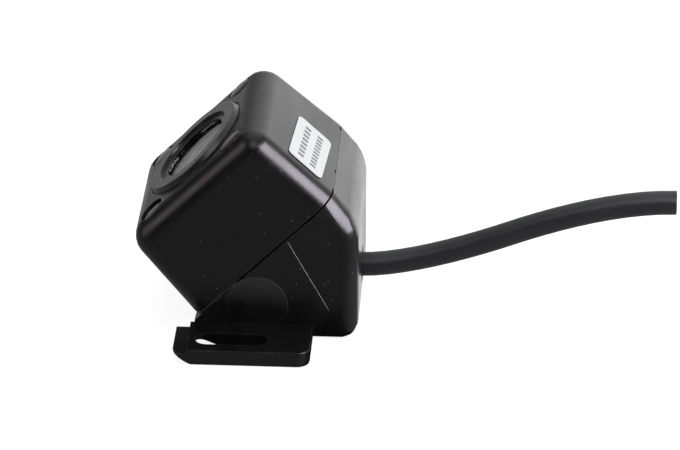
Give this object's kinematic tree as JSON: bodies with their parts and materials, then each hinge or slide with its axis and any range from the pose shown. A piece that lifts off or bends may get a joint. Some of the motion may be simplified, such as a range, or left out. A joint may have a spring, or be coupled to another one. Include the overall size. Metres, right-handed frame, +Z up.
{
  "type": "backup camera",
  "caption": "Small cube-shaped vehicle rear-view camera leaning back on a slotted foot, with a raised ring round its flat window and a round cable from its rear wall.",
  "frame": {"origin": "centre of the foot's underside, midway between the two slotted ears and between their front and rear edges", "axes": "+Z up from the face it is fastened on, +X to the rear where the cable leaves, +Y across along the line of the two ears; the lens looks along -X and +Z"},
  "size_m": [0.0816, 0.0486, 0.0326],
  "materials": {
    "shell_black": "satin",
    "ring_black": "satin",
    "window": "gloss",
    "lamp_dark": "gloss",
    "rubber_black": "matte",
    "cable_jacket": "satin",
    "label_white": "matte",
    "inner_black": "matte",
    "optical_glass": "gloss",
    "filter_glass": "gloss",
    "board_green": "satin",
    "led_clear": "gloss",
    "chip_black": "matte",
    "screw_steel": "satin",
    "brass": "satin",
    "can_aluminium": "satin",
    "nylon_white": "satin",
    "wire_red": "satin",
    "wire_black": "satin",
    "wire_yellow": "satin",
    "wire_white": "satin"
  },
  "bodies": {
    "housing": {"board_header": "chip_black", "board_screw_1": "screw_steel", "board_screw_2": "screw_steel", "cable": "cable_jacket", "cable_grommet": "rubber_black", "cable_header": "nylon_white", "cable_plug": "nylon_white", "front_shell": "shell_black", "holder_screw_1": "screw_steel", "holder_screw_2": "screw_steel", "housing_gasket": "rubber_black", "image_sensor": "chip_black", "ir_filter": "filter_glass", "label": "label_white", "lamp_window_1": "lamp_dark", "lamp_window_2": "lamp_dark", "lamp_window_3": "lamp_dark", "lamp_window_4": "lamp_dark", "led_1": "led_clear", "led_2": "led_clear", "led_3": "led_clear", "led_4": "led_clear", "led_board_lower": "board_green", "led_board_upper": "board_green", "led_lead_lower": "wire_red", "led_lead_upper": "wire_red", "lens_holder": "inner_black", "lens_ring": "ring_black", "power_board": "board_green", "power_capacitor": "can_aluminium", "power_inductor": "chip_black", "rear_shell": "shell_black", "ring_nut": "brass", "sensor_board": "board_green", "signal_processor": "chip_black", "standoff_1": "brass", "standoff_2": "brass", "window_glass": "window", "window_retainer": "inner_black", "window_seal": "rubber_black", "wire_black": "wire_black", "wire_red": "wire_red", "wire_white": "wire_white", "wire_yellow": "wire_yellow"},
    "focus_carrier": {"barrel_seal": "rubber_black"},
    "lens": {"lens_barrel": "inner_black", "lens_cap_ring": "inner_black", "front_element": "optical_glass", "rear_element": "optical_glass"}
  },
  "joints": [
    {"name": "focus_travel", "type": "slide", "parent": "housing", "child": "focus_carrier", "axis": [-0.7009, 0, 0.7133], "range_m": [-0.00025, 0.00025]},
    {"name": "focus_turn", "type": "hinge", "parent": "focus_carrier", "child": "lens", "pos_m": [-0.00144, 0, 0.01737], "axis": [-0.7009, 0, 0.7133], "range_deg": [-180, 180]}
  ],
  "couplings": [
    {"joint": "focus_turn", "follows": "focus_travel", "rad_per_m": 12566}
  ]
}
